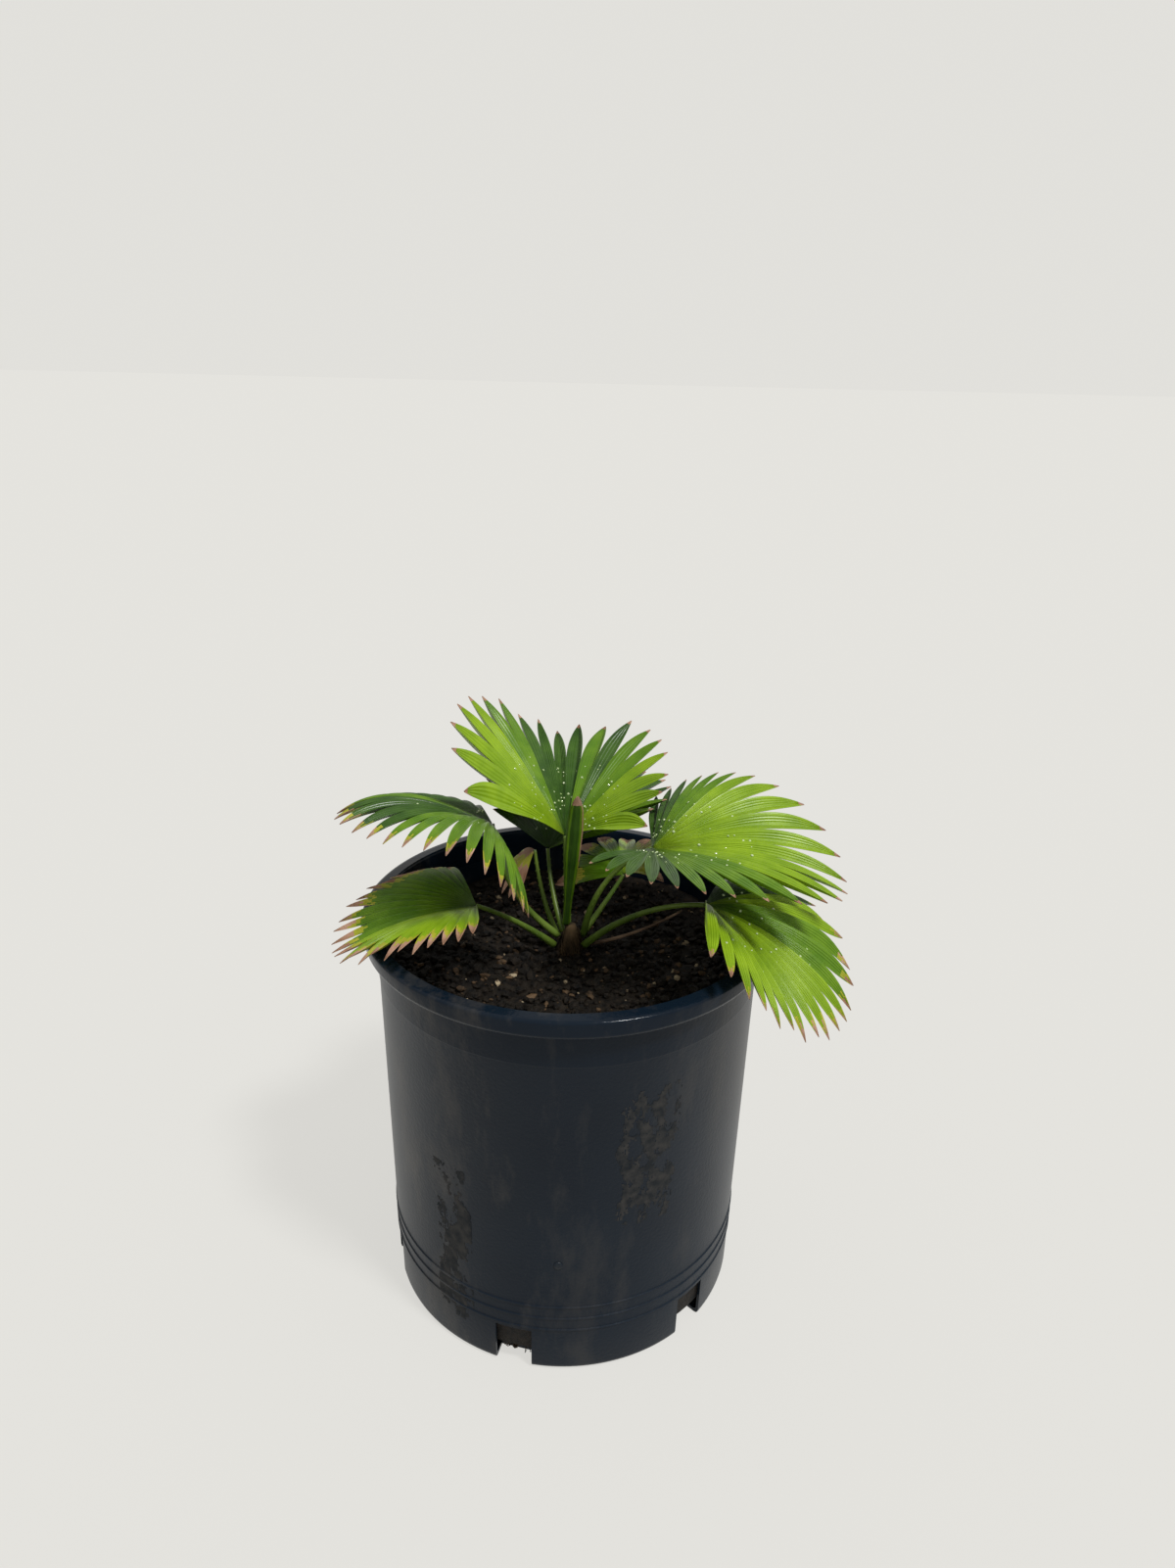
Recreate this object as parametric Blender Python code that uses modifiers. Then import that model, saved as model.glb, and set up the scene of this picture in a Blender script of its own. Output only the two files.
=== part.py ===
"""Footstool palm, a young plant in a black nursery pot, as separate solids.

Metres, +Z up. The origin is the middle of the pot's flat underside. Sizes at
the top are in millimetres and degrees. A leaf is a fan: five guide ribs give
its heading, rise and reach from one edge round to the other, every other rib
is worked out between them, and the blade's folded segments run along the ribs.
"""
import math

import bmesh
import bpy
import numpy as np

MM = 0.001
GAP = 0.3

# Pot: a round pail with a turned-over rim and six square drain openings.
RIM_RADIUS = 140.0
RIM_TOP = 286.0
LIP_RADIUS = 130.5
SKIRT_BOTTOM = 272.8
SKIRT_RADIUS = 137.5
BASE_RADIUS = 125.2
NECK_RADIUS = 130.0
STEP_HEIGHT = 247.6
STEP_DEPTH = 0.5
WALL = 2.0
FLOOR = 2.5
ROUND_STEPS = 48
DRAIN_COUNT = 6
DRAIN_HEADING = -104.0
DRAIN_WIDTH = 25.0
DRAIN_HEIGHT = 33.0
DRAIN_DEPTH = 13.0

# Soil: it fills the pot to 36 mm below the rim.
SOIL_TOP = 250.0
SOIL_CHAMFER = 12.0

# Crown: the short stem that carries the leaves.
CROWN_AT = (1.5, 4.0)
CROWN_RADIUS = 8.5
CROWN_NECK = 4.0
CROWN_HEIGHT = 19.0

# Spear: the unopened leaf in the middle.
SPEAR_FOOT = (-2.0, 2.0, 270.0)
SPEAR_TIP = (4.6, 0.0, 367.0)
SPEAR_HALF_WIDTH = 5.3
SPEAR_FLATNESS = 0.5

# Blades.
BLADE_THICKNESS = 1.6
HUB_RADIUS = 4.2
KNOB_RADIUS = 3.2
PLEAT = 0.12
PLEAT_START = 14.0
PLEAT_FULL = 34.0
TIP_WIDTH = 0.10
DROOP_SHARE = 0.035
RIB_STEPS = 48
ROWS_FUSED = 3
ROWS_FREE = 3

# Each leaf: its hub, where the ribs meet; the number of segments; heading,
# rise and reach of the five guide ribs, anticlockwise; how far the middle and
# the edge ribs sag and how late they do; the fused share of the blade; the
# petiole's foot on the crown, its bow at mid length and its radii.
LEAVES = {
    "front_left": dict(
        hub=(-60, -30, 300), segments=25,
        heading=(113, 160, 202, 238, 278), rise=(18, 13, 3, 18, 28), reach=(58, 82, 98, 87, 64),
        sag=(0.6, 0.6), late=1.3, fused=0.68,
        foot=(-10, -1, 255.5), bow=(0, 0, 3), stalk=(2.3, 1.5)),
    "left": dict(
        hub=(-52, 3, 344), segments=23,
        heading=(112, 166, 226, 271, 306), rise=(8, 20, 30, 26, -36), reach=(48, 103, 106, 98, 63),
        sag=(1.0, 1.0), late=1.9, fused=0.56,
        foot=(-7.5, 5, 260), bow=(-9, 0, -6), stalk=(2.3, 1.4)),
    "centre": dict(
        hub=(-4, 33, 323), segments=19,
        heading=(-48, 30, 95, 146, 235), rise=(33, 48, 25, 52, 40), reach=(76, 99, 122, 118, 107),
        sag=(0.15, 0.4), late=0.6, fused=0.62,
        foot=(-1, 10.5, 266), bow=(0, 3, -2), stalk=(2.3, 1.6)),
    "back": dict(
        hub=(-17, 54, 303), segments=16,
        heading=(-45, 20, 83, 151, 224), rise=(31, 28, 20, 55, 41), reach=(74, 102, 108, 79, 61),
        sag=(0.5, 0.1), late=1.7, fused=0.55,
        foot=(-4, 13, 258), bow=(-2, 0, 0), stalk=(2.1, 1.3)),
    "right": dict(
        hub=(55, 1, 330), segments=24,
        heading=(-128, -73, -14, 43, 89), rise=(15, 17, 10, 28, 0), reach=(77, 115, 133, 100, 77),
        sag=(0.7, 0.0), late=1.5, fused=0.55,
        foot=(10.4, 5, 261), bow=(-8, 0, 7), stalk=(2.2, 1.5)),
    "low_right": dict(
        hub=(38, 33, 294), segments=11,
        heading=(-66, -9, 68, 120, 166), rise=(31, 42, 16, 15, -16), reach=(47, 56, 67, 61, 59),
        sag=(0.8, 0.7), late=1.5, fused=0.45,
        foot=(8.5, 11, 256), bow=(0, 0, -1), stalk=(2.3, 1.4)),
    "front_right": dict(
        hub=(89, -33, 306), segments=22,
        heading=(-98, -62, -29, 19, 65), rise=(42, 7, 0, 19, 24), reach=(82, 109, 115, 88, 54),
        sag=(1.0, 1.1), late=1.0, fused=0.70,
        foot=(11, -1, 255.5), bow=(-2, 0, 9), stalk=(2.4, 1.6)),
    "withered": dict(
        hub=(-25, 26, 315), segments=6,
        heading=(120, 150, 180, 210, 240), rise=(5, -10, -25, -35, -40), reach=(34, 38, 42, 40, 34),
        sag=(1.6, 1.6), late=0.8, fused=0.40,
        foot=(-7.5, 10.5, 255.5), bow=(-2, 0, -3), stalk=(2.0, 1.2)),
}

# Dry stalk: a dead petiole without a blade that lies under the front right one.
DRY_STALK = dict(foot=(13, 3.5, 254.0), tip=(76, -12, 290), bow=(0, 0, -4), stalk=(1.6, 1.0))

COLOURS = {
    "pot": ((0.010, 0.015, 0.022), 0.38),
    "soil": ((0.010, 0.008, 0.006), 0.90),
    "crown": ((0.045, 0.028, 0.014), 0.85),
    "leaf": ((0.125, 0.300, 0.018), 0.42),
    "stalk": ((0.090, 0.190, 0.022), 0.45),
    "dry": ((0.260, 0.140, 0.080), 0.80),
}


def clear_scene():
    for obj in list(bpy.data.objects):
        bpy.data.objects.remove(obj, do_unlink=True)


def collection(name):
    made = bpy.data.collections.new(name)
    bpy.context.scene.collection.children.link(made)
    return made


def material(kind):
    name = "mat_" + kind
    if name in bpy.data.materials:
        return bpy.data.materials[name]
    colour, roughness = COLOURS[kind]
    made = bpy.data.materials.new(name)
    made.use_nodes = True
    shader = made.node_tree.nodes["Principled BSDF"]
    shader.inputs["Base Color"].default_value = (*colour, 1.0)
    shader.inputs["Roughness"].default_value = roughness
    shader.inputs["Metallic"].default_value = 0.0
    made.diffuse_color = (*colour, 1.0)
    return made


def add_object(name, data, kind, target):
    obj = bpy.data.objects.new(name, data)
    data.materials.append(material(kind))
    target.objects.link(obj)
    return obj


def wall_radius(z):
    """Outer radius of the pot's body at height z, without the step."""
    return BASE_RADIUS + (NECK_RADIUS - BASE_RADIUS) * z / SKIRT_BOTTOM


def turned(name, profile, kind, target, steps=ROUND_STEPS, at=(0.0, 0.0, 0.0)):
    """A turned solid: the profile runs down the outer side from the axis or closes on itself."""
    mesh = bpy.data.meshes.new(name)
    form = bmesh.new()
    verts = [form.verts.new((r * MM, 0.0, z * MM)) for r, z in profile]
    for low, high in zip(verts, verts[1:]):
        form.edges.new((low, high))
    if profile[0][0] > 0.0:
        form.edges.new((verts[-1], verts[0]))
    form.to_mesh(mesh)
    form.free()
    obj = add_object(name, mesh, kind, target)
    obj.location = [value * MM for value in at]
    screw = obj.modifiers.new("turn", "SCREW")
    screw.steps = screw.render_steps = steps
    screw.use_merge_vertices = True
    screw.merge_threshold = 0.00001
    screw.use_smooth_shade = False
    return obj


def make_pot(target, cutters):
    step = STEP_HEIGHT
    profile = [
        (0.0, FLOOR),
        (BASE_RADIUS - WALL - 2.0, FLOOR),
        (wall_radius(FLOOR + 2.0) - WALL, FLOOR + 2.0),
        (wall_radius(SKIRT_BOTTOM) - WALL, SKIRT_BOTTOM),
        (LIP_RADIUS - 0.6, RIM_TOP - 1.2),
        (LIP_RADIUS + 0.4, RIM_TOP),
        (RIM_RADIUS - 1.6, RIM_TOP - 0.3),
        (RIM_RADIUS, RIM_TOP - 1.7),
        (SKIRT_RADIUS + 0.6, SKIRT_BOTTOM + 2.2),
        (SKIRT_RADIUS, SKIRT_BOTTOM),
        (SKIRT_RADIUS - 2.0, SKIRT_BOTTOM + 0.2),
        (RIM_RADIUS - 3.4, RIM_TOP - 3.4),
        (NECK_RADIUS + 2.2, RIM_TOP - 3.6),
        (NECK_RADIUS + STEP_DEPTH, SKIRT_BOTTOM),
        (wall_radius(step) + STEP_DEPTH, step + 0.6),
        (wall_radius(step), step - 0.6),
        (wall_radius(4.0), 4.0),
        (BASE_RADIUS - 0.9, 1.2),
        (BASE_RADIUS - 2.6, 0.0),
        (0.0, 0.0),
    ]
    pot = turned("pot", profile, "pot", target)
    for i in range(DRAIN_COUNT):
        heading = math.radians(DRAIN_HEADING + i * 360.0 / DRAIN_COUNT)
        middle = BASE_RADIUS + 4.0 - DRAIN_DEPTH / 2.0 - 2.0
        mesh = bpy.data.meshes.new("drain_cutter")
        form = bmesh.new()
        bmesh.ops.create_cube(form, size=1.0)
        bmesh.ops.scale(form, vec=((DRAIN_DEPTH + 4.0) * MM, DRAIN_WIDTH * MM, (DRAIN_HEIGHT + 5.0) * MM),
                        verts=form.verts)
        form.to_mesh(mesh)
        form.free()
        cutter = bpy.data.objects.new("drain_cutter_%d" % i, mesh)
        cutters.objects.link(cutter)
        cutter.location = (middle * math.cos(heading) * MM, middle * math.sin(heading) * MM,
                           (DRAIN_HEIGHT - 5.0) / 2.0 * MM)
        cutter.rotation_euler = (0.0, 0.0, heading)
        cutter.hide_render = True
        cutter.display_type = "WIRE"
        cut = pot.modifiers.new("drain_%d" % i, "BOOLEAN")
        cut.operation = "DIFFERENCE"
        cut.object = cutter
    return pot


def make_soil(target):
    def inner(z):
        return wall_radius(z) - WALL - GAP

    edge = SOIL_TOP - 1.0
    profile = [
        (0.0, SOIL_TOP),
        (60.0, SOIL_TOP + 0.2),
        (105.0, SOIL_TOP),
        (inner(edge) - 1.2, edge + 0.4),
        (inner(edge), edge - 0.8),
        (inner(FLOOR + SOIL_CHAMFER), FLOOR + GAP + SOIL_CHAMFER),
        (BASE_RADIUS - WALL - SOIL_CHAMFER, FLOOR + GAP),
        (0.0, FLOOR + GAP),
    ]
    return turned("soil", profile, "soil", target)


def make_crown(target):
    profile = [
        (0.0, CROWN_HEIGHT),
        (CROWN_NECK * 0.7, CROWN_HEIGHT),
        (CROWN_NECK, CROWN_HEIGHT - 1.5),
        (CROWN_RADIUS * 0.72, CROWN_HEIGHT * 0.45),
        (CROWN_RADIUS * 0.88, CROWN_HEIGHT * 0.18),
        (CROWN_RADIUS, 0.0),
        (0.0, 0.0),
    ]
    foot = (CROWN_AT[0], CROWN_AT[1], SOIL_TOP + 0.2 + GAP)
    return turned("crown", profile, "crown", target, steps=16, at=foot)


def limb(name, points, radii, kind, target, sides=1):
    """A tapering limb: a curve through the points, capped at both ends."""
    curve = bpy.data.curves.new(name, "CURVE")
    curve.dimensions = "3D"
    curve.bevel_depth = MM
    curve.bevel_resolution = sides
    curve.use_fill_caps = True
    spline = curve.splines.new("POLY")
    spline.points.add(len(points) - 1)
    for knot, point, radius in zip(spline.points, points, radii):
        knot.co = (point[0] * MM, point[1] * MM, point[2] * MM, 1.0)
        knot.radius = radius
    return add_object(name, curve, kind, target)


def bowed(foot, tip, bow, count):
    """Points of an arc from foot to tip that bows out by bow at mid length."""
    share = np.linspace(0.0, 1.0, count)[:, None]
    straight = np.array(foot) + (np.array(tip, float) - np.array(foot)) * share
    return straight + 4.0 * share * (1.0 - share) * np.array(bow, float)


def make_petiole(name, leaf, target, kind="stalk"):
    """The petiole widens to a knob at the hub, inside the ring where the blade starts."""
    hub = np.array(leaf["hub"], float)
    foot = np.array(leaf["foot"], float)
    toward = (hub - foot) / np.linalg.norm(hub - foot)
    shaft = bowed(foot, hub - toward * KNOB_RADIUS, leaf["bow"], 6)
    knob = np.array([hub - toward * KNOB_RADIUS * 0.3, hub + toward * KNOB_RADIUS * 0.3])
    base, top = leaf["stalk"]
    share = np.linspace(0.0, 1.0, len(shaft))
    radii = top + (base - top) * (1.0 - share) ** 1.6
    return limb(name, np.vstack([shaft, knob]), [*radii, KNOB_RADIUS * 0.95, KNOB_RADIUS * 0.6], kind, target)


def through(values, u):
    """A smooth line through evenly spaced guide values, read at each u in 0 to 1."""
    values = np.asarray(values, float).reshape(len(values), -1)
    spans = len(values) - 1
    first = 3.0 * values[0] - 3.0 * values[1] + values[2]
    last = 3.0 * values[-1] - 3.0 * values[-2] + values[-3]
    knots = np.vstack([first, values, last])
    place = np.asarray(u, float) * spans
    span = np.clip(np.floor(place).astype(int), 0, spans - 1)
    f = (place - span)[:, None]
    a, b, c, d = (knots[span + k] for k in range(4))
    return 0.5 * (2.0 * b + (c - a) * f + (2.0 * a - 5.0 * b + 4.0 * c - d) * f ** 2
                  + (3.0 * b - a - 3.0 * c + d) * f ** 3)


def unit(vectors):
    return vectors / np.linalg.norm(vectors, axis=-1, keepdims=True)


def ribs(leaf, u):
    """Ribs from the hub at each u: points at RIB_STEPS + 1 even shares, and their reach."""
    heading = np.radians(leaf["heading"])
    rise = np.radians(leaf["rise"])
    guides = np.stack([np.cos(rise) * np.cos(heading), np.cos(rise) * np.sin(heading), np.sin(rise)], -1)
    aim = unit(through(guides, u))
    reach = through(leaf["reach"], u)[:, 0]
    edge = np.abs(2.0 * np.asarray(u) - 1.0)
    sag = leaf["sag"][0] * (1.0 - edge) + leaf["sag"][1] * edge
    share = np.linspace(0.0, 1.0, RIB_STEPS + 1)
    pull = (share ** leaf["late"])[None, :] * sag[:, None]
    course = unit(aim[:, None, :] + pull[:, :, None] * np.array([0.0, 0.0, -1.0]))
    step = 0.5 * (course[:, 1:] + course[:, :-1]) / RIB_STEPS
    line = np.concatenate([np.zeros_like(course[:, :1]), np.cumsum(step, axis=1)], axis=1)
    return np.array(leaf["hub"], float) + line * reach[:, None, None], reach


def read_rows(lines, rows):
    """Points along each line at its own row shares."""
    place = rows * RIB_STEPS
    low = np.clip(np.floor(place).astype(int), 0, RIB_STEPS - 1)
    f = (place - low)[:, :, None]
    index = np.arange(len(lines))[:, None]
    return lines[index, low] * (1.0 - f) + lines[index, low + 1] * f


def jitter(seed, i):
    """A fixed value in -1 to 1 for segment i of a leaf."""
    return math.sin(seed * 12.9898 + i * 78.233 + 1.7 * math.sin(i * 3.1 + seed))


def make_blade(name, leaf, target, seed, kind="leaf"):
    count = leaf["segments"]
    u = np.linspace(0.0, 1.0, 2 * count + 1)
    lines, reach = ribs(leaf, u)
    fused = leaf["fused"]
    inner = np.linspace(0.0, 1.0, ROWS_FUSED + 1) ** 0.8
    outer = np.linspace(0.0, 1.0, ROWS_FREE + 1)[1:]
    start = (HUB_RADIUS / reach)[:, None]
    rows = np.concatenate([start + (fused - start) * inner[None, :],
                           fused + (1.0 - fused) * np.repeat(outer[None, :], len(u), axis=0)], axis=1)
    points = read_rows(lines, rows)
    along = np.gradient(points, axis=1)
    across = np.gradient(points, axis=0)
    normal = unit(np.cross(along, across))
    span = np.linalg.norm(across, axis=2)
    far = np.linalg.norm(points - np.array(leaf["hub"], float), axis=2)
    fold = PLEAT * np.clip((far - PLEAT_START) / (PLEAT_FULL - PLEAT_START), 0.0, 1.0)
    free = np.clip((rows - fused) / (1.0 - fused), 0.0, 1.0)
    width = 1.0 - (1.0 - TIP_WIDTH) * free ** 1.3
    height = fold * span * width
    last = rows.shape[1] - 1

    form = bmesh.new()
    for i in range(count):
        made = bmesh.ops.create_grid(form, x_segments=2, y_segments=last, size=0.5)["verts"]
        middle = 2 * i + 1
        droop = jitter(seed, i) * DROOP_SHARE * reach[middle]
        for vert in made:
            side = 1 - int(round((vert.co.x + 0.5) * 2.0))
            row = int(round((vert.co.y + 0.5) * last))
            j = middle + side
            spine = points[middle, row]
            place = spine + (points[j, row] - spine) * width[middle, row]
            place = place + normal[j, row] * height[j, row] * (1.0 if side else -1.0)
            place = place - np.array([0.0, 0.0, droop]) * free[middle, row] ** 2
            vert.co = place * MM
    bmesh.ops.remove_doubles(form, verts=form.verts, dist=0.00002)
    mesh = bpy.data.meshes.new(name)
    form.to_mesh(mesh)
    form.free()
    obj = add_object(name, mesh, kind, target)
    solid = obj.modifiers.new("thickness", "SOLIDIFY")
    solid.thickness = BLADE_THICKNESS * MM
    solid.offset = 0.0
    return obj


def make_spear(target):
    """The folded young leaf: a flattened spindle on its own short petiole."""
    foot, tip = np.array(SPEAR_FOOT), np.array(SPEAR_TIP)
    share = np.array([0.0, 0.2, 0.36, 0.55, 0.75, 0.9, 0.97, 1.0])
    width = np.array([0.55, 0.55, 0.72, 0.95, 1.0, 0.86, 0.6, 0.35])
    points = (tip - foot)[None, :] * share[:, None]
    points[:, 1] /= SPEAR_FLATNESS
    obj = limb("spear", points, width * SPEAR_HALF_WIDTH, "leaf", target, sides=2)
    obj.location = [value * MM for value in SPEAR_FOOT]
    obj.scale = (1.0, SPEAR_FLATNESS, 1.0)
    return obj


def main():
    clear_scene()
    plant = collection("potted_footstool_palm")
    cutters = collection("cutters")
    make_pot(plant, cutters)
    make_soil(plant)
    make_crown(plant)
    make_spear(plant)
    for seed, (name, leaf) in enumerate(LEAVES.items(), 1):
        dead = name == "withered"
        make_petiole("petiole_" + name, leaf, plant)
        make_blade("blade_" + name, leaf, plant, seed, kind="dry" if dead else "leaf")
    stalk = DRY_STALK
    points = bowed(stalk["foot"], stalk["tip"], stalk["bow"], 5)
    limb("dry_stalk", points, np.linspace(*stalk["stalk"], 5), "dry", plant)


main()
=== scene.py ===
# %% [markdown]
# # A young footstool palm in a nursery pot
#
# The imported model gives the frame: a pot, its soil, a short crown, and leaves
# that each have a stalk and a pleated, round, fan-shaped blade. This script
# puts the looks on that frame. Lengths are in metres, apart from the guides of
# the leaves and of the dry stalk, which are in millimetres like the solid
# model's, and MM turns them.

# %% Load the frame
import math
import random

import bmesh
import bpy
import numpy as np
from mathutils import Matrix, Vector, noise


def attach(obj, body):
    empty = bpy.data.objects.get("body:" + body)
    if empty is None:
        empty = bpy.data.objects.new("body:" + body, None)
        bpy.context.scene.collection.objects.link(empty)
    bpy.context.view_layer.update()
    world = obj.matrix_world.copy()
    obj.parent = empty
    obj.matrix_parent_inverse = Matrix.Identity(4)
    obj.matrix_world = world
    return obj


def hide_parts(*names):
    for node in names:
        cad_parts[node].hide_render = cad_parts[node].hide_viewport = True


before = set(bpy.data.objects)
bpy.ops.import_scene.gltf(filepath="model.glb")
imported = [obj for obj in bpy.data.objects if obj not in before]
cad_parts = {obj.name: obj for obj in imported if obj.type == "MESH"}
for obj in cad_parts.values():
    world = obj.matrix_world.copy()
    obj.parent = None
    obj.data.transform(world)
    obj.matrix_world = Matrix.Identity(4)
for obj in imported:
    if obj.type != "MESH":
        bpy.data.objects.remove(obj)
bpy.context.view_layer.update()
MM = 0.001

# %% [markdown]
# ## The camera
#
# A pot's rim, its step line and its base are circles, so the ellipses that
# they make in a picture give the camera's place. It stands 0.65 m in front of
# the pot's axis and looks down by about 22 degrees, with a very small roll.

# %% Camera
CAMERA_PLACE = (0.01076, -0.65327, 0.63491)
CAMERA_PITCH = math.radians(21.646)
CAMERA_ROLL = math.radians(1.326)
SENSOR_MM = 36.0
LENS_MM = 24.65
CLIP_START = 0.01


def make_camera():
    data = bpy.data.cameras.new("photo_camera")
    data.sensor_width = SENSOR_MM
    data.lens = LENS_MM
    data.clip_start = CLIP_START
    camera = bpy.data.objects.new("photo_camera", data)
    bpy.context.scene.collection.objects.link(camera)
    tilt = Matrix.Rotation(math.pi / 2 - CAMERA_PITCH, 4, "X")
    roll = Matrix.Rotation(CAMERA_ROLL, 4, "Z")
    camera.matrix_world = Matrix.Translation(CAMERA_PLACE) @ tilt @ roll
    bpy.context.scene.camera = camera
    return camera


camera = make_camera()
print("camera at", tuple(round(v, 3) for v in camera.matrix_world.translation))

# %% [markdown]
# ## Floor and light
#
# The plant stands on a plain pale ground before a plain pale background. One
# large plane and a world of nearly the same tone give that, and only a faint
# line shows where they meet. A broad sun from the upper right front gives the
# soft shadows under the leaves, and the world fills them. Most of the floor's
# tone is a glow of its own, as on a light table, so the pot's shadow is light.

# %% Floor and light
BACKDROP = (0.757, 0.748, 0.714)
FLOOR_TONE = (0.090, 0.089, 0.085)
FLOOR_GLOW = (0.630, 0.622, 0.594)
FLOOR_SIZE = 60.0
FLOOR_HEIGHT = -0.0005
WORLD_FILL = 1.0
SUN_STRENGTH = 3.3
SUN_ANGLE = math.radians(9.0)
SUN_FROM = Vector((0.42, -0.38, 1.0))


def make_floor():
    bpy.ops.mesh.primitive_plane_add(size=FLOOR_SIZE, location=(0.0, 0.0, FLOOR_HEIGHT))
    floor = bpy.context.object
    floor.name = "floor"
    paint = bpy.data.materials.new("floor_paper")
    paint.use_nodes = True
    shader = paint.node_tree.nodes["Principled BSDF"]
    shader.inputs["Base Color"].default_value = (*FLOOR_TONE, 1.0)
    shader.inputs["Roughness"].default_value = 1.0
    shader.inputs["Specular IOR Level"].default_value = 0.0
    shader.inputs["Emission Color"].default_value = (*FLOOR_GLOW, 1.0)
    shader.inputs["Emission Strength"].default_value = 1.0
    floor.data.materials.append(paint)


def make_light():
    world = bpy.data.worlds.new("studio")
    world.use_nodes = True
    back = world.node_tree.nodes["Background"]
    back.inputs["Color"].default_value = (*BACKDROP, 1.0)
    back.inputs["Strength"].default_value = WORLD_FILL
    bpy.context.scene.world = world
    sun = bpy.data.lights.new("sun", "SUN")
    sun.energy = SUN_STRENGTH
    sun.angle = SUN_ANGLE
    lamp = bpy.data.objects.new("sun", sun)
    lamp.rotation_euler = SUN_FROM.to_track_quat("Z", "Y").to_euler()
    bpy.context.scene.collection.objects.link(lamp)


make_floor()
make_light()
bpy.context.scene.view_settings.view_transform = "Standard"
print("floor and light ready")

# %% [markdown]
# ## Finishes
#
# A finish is a Principled shader with a pattern for its colour and another for
# its relief. One helper makes the common case: two tones mixed by noise, and a
# bump from finer noise. The tones, grain sizes and gloss are what differ
# between plastic, soil, leaf and fibre.

# %% A helper for mottled finishes
TONE_EDGES = (0.35, 0.65)
TONE_DETAIL = 5.0
BUMP_DETAIL = 4.0


def mottled(name, dark, light, grain, rough, bump_grain, bump_depth, specular=0.5, stretch=(1.0, 1.0, 1.0)):
    """Two tones mixed by noise with `grain` cells a metre, and a fine bump."""
    paint = bpy.data.materials.new(name)
    paint.use_nodes = True
    nodes, links = paint.node_tree.nodes, paint.node_tree.links
    shader = nodes["Principled BSDF"]
    place = nodes.new("ShaderNodeTexCoord")
    mapping = nodes.new("ShaderNodeMapping")
    mapping.inputs["Scale"].default_value = stretch
    links.new(place.outputs["Object"], mapping.inputs["Vector"])
    cloud = nodes.new("ShaderNodeTexNoise")
    cloud.inputs["Scale"].default_value = grain
    cloud.inputs["Detail"].default_value = TONE_DETAIL
    links.new(mapping.outputs["Vector"], cloud.inputs["Vector"])
    ramp = nodes.new("ShaderNodeValToRGB")
    ramp.color_ramp.elements[0].position, ramp.color_ramp.elements[1].position = TONE_EDGES
    ramp.color_ramp.elements[0].color = (*dark, 1.0)
    ramp.color_ramp.elements[1].color = (*light, 1.0)
    links.new(cloud.outputs["Fac"], ramp.inputs["Fac"])
    links.new(ramp.outputs["Color"], shader.inputs["Base Color"])
    fine = nodes.new("ShaderNodeTexNoise")
    fine.inputs["Scale"].default_value = bump_grain
    fine.inputs["Detail"].default_value = BUMP_DETAIL
    links.new(mapping.outputs["Vector"], fine.inputs["Vector"])
    bump = nodes.new("ShaderNodeBump")
    bump.inputs["Distance"].default_value = bump_depth
    links.new(fine.outputs["Fac"], bump.inputs["Height"])
    links.new(bump.outputs["Normal"], shader.inputs["Normal"])
    shader.inputs["Roughness"].default_value = rough
    shader.inputs["Specular IOR Level"].default_value = specular
    return paint


def map_range(paint, source, low, high, to_low=0.0, to_high=1.0):
    """A node that turns a value between low and high into one between to_low and to_high."""
    node = paint.node_tree.nodes.new("ShaderNodeMapRange")
    node.inputs["From Min"].default_value = low
    node.inputs["From Max"].default_value = high
    node.inputs["To Min"].default_value = to_low
    node.inputs["To Max"].default_value = to_high
    paint.node_tree.links.new(source, node.inputs["Value"])
    return node.outputs["Result"]


# %% [markdown]
# ## From a mesh in the making to a piece
#
# Shapes are built with bmesh, which holds points and faces while they are made.
# Two helpers end every shape in the same way: one turns it into a mesh, the
# other links it, gives it its finishes, puts it under the body root, and hides
# the solid parts that it stands for.

# %% Helpers for pieces
def to_mesh(form, name, smooth=True):
    """The mesh of a finished form."""
    for face in form.faces:
        face.smooth = smooth
    mesh = bpy.data.meshes.new(name)
    form.to_mesh(mesh)
    form.free()
    return mesh


def add_piece(mesh, paints, slot, *stands_for):
    """Links a mesh as a piece of the object, with its finishes, under the body root. The slot is not used."""
    piece = bpy.data.objects.new(mesh.name, mesh)
    bpy.context.scene.collection.objects.link(piece)
    for paint in paints:
        mesh.materials.append(paint)
    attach(piece, "root")
    if stands_for:
        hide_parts(*stands_for)
    return piece


print("helpers ready")

# %% [markdown]
# ## The pot's plastic
#
# Black nursery plastic is never quite black: it shows a cold blue-black where
# it is clean, and a thin grey-brown film where dust and splashed soil dried on
# it. The film is stronger on one side. Its amount is worked out here from noise
# and from the side of each point, and the rim, which hands and rain keep clean,
# is glossier than the wall.

# %% Pot finish
CLEAN_BLACK = (0.0018, 0.0055, 0.0115)
DUST_FILM = (0.040, 0.037, 0.034)
WORN_BLACK = (0.0034, 0.0080, 0.0150)
FILM_SIDES = (0.02, -0.13)
FILM_SHARES = (0.30, 0.75)
FILM_LEAST = 0.02
STREAK_GRAIN = 30.0
STREAK_STRETCH = (1.0, 1.0, 0.35)
STREAK_EDGES = (0.50, 0.66)
RIM_HEIGHTS = (0.262, 0.276)
WALL_ROUGH = 0.34
RIM_ROUGH = 0.13


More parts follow.
